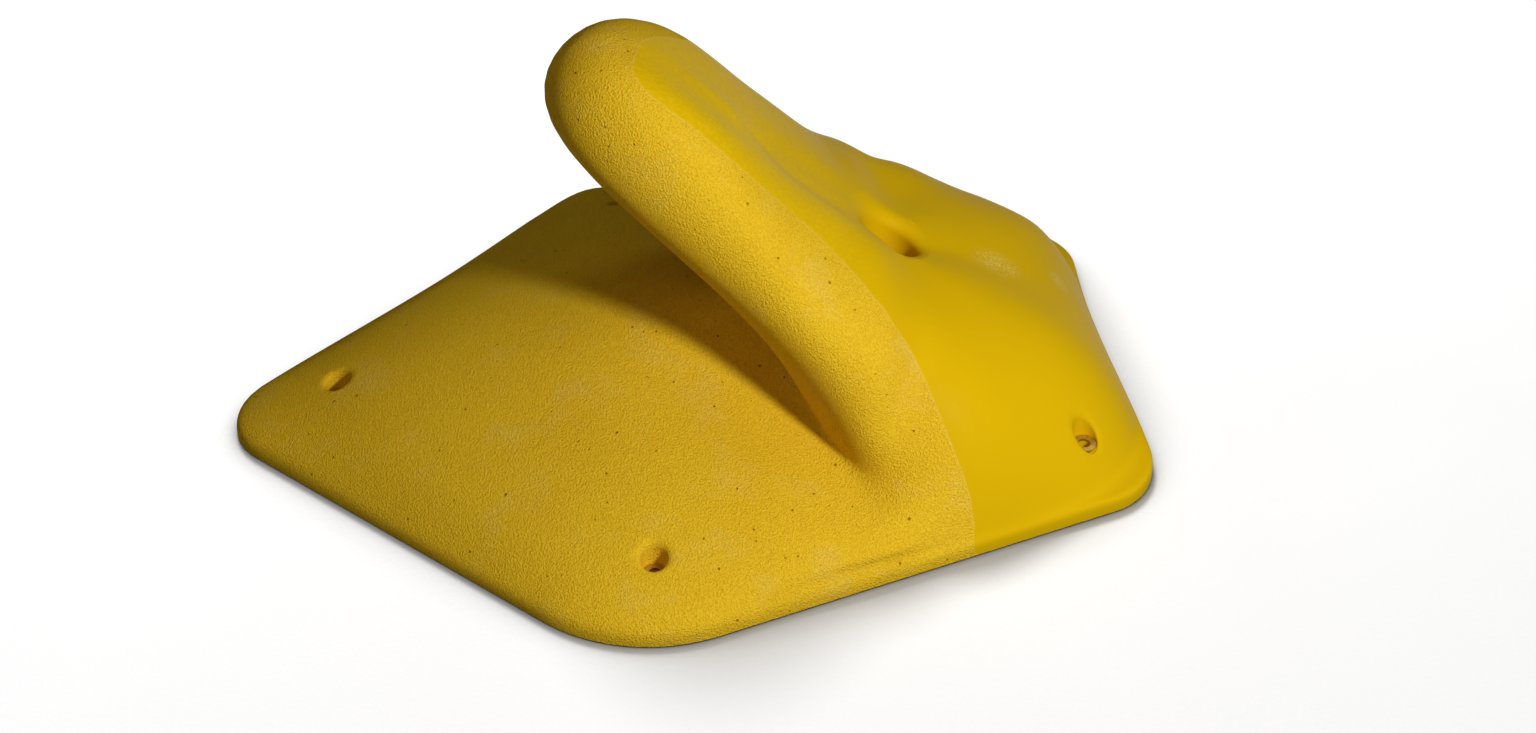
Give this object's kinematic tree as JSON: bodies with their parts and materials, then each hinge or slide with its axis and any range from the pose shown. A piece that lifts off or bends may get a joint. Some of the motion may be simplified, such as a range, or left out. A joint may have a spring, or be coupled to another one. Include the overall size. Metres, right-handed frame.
{
  "type": "climbing volume",
  "caption": "Moulded climbing volume: a low textured slab that runs under a thick overhanging hood with a glossy back, hollow behind, fixed with a bolt and corner screws.",
  "frame": {"origin": "middle of the base outline's box, on the flat base that lies against the wall", "axes": "+Z points away from the wall, out of the base; +X runs along the centre line from the slab's tip to the tail; the form is the same at +Y and -Y"},
  "size_m": [0.4678, 0.359, 0.2215],
  "materials": {
    "shell": "glossy on the hood's back and tail, sand-textured on the slab and the hood's rim",
    "washer": "plain zinc-plated"
  },
  "bodies": {
    "root": {"shell": "shell", "bolt_seat_washer": "washer", "screw_washer_slab_tip": "washer", "screw_washer_near_side": "washer", "screw_washer_far_side": "washer", "screw_washer_near_tail": "washer", "screw_washer_far_tail": "washer"}
  },
  "joints": []
}
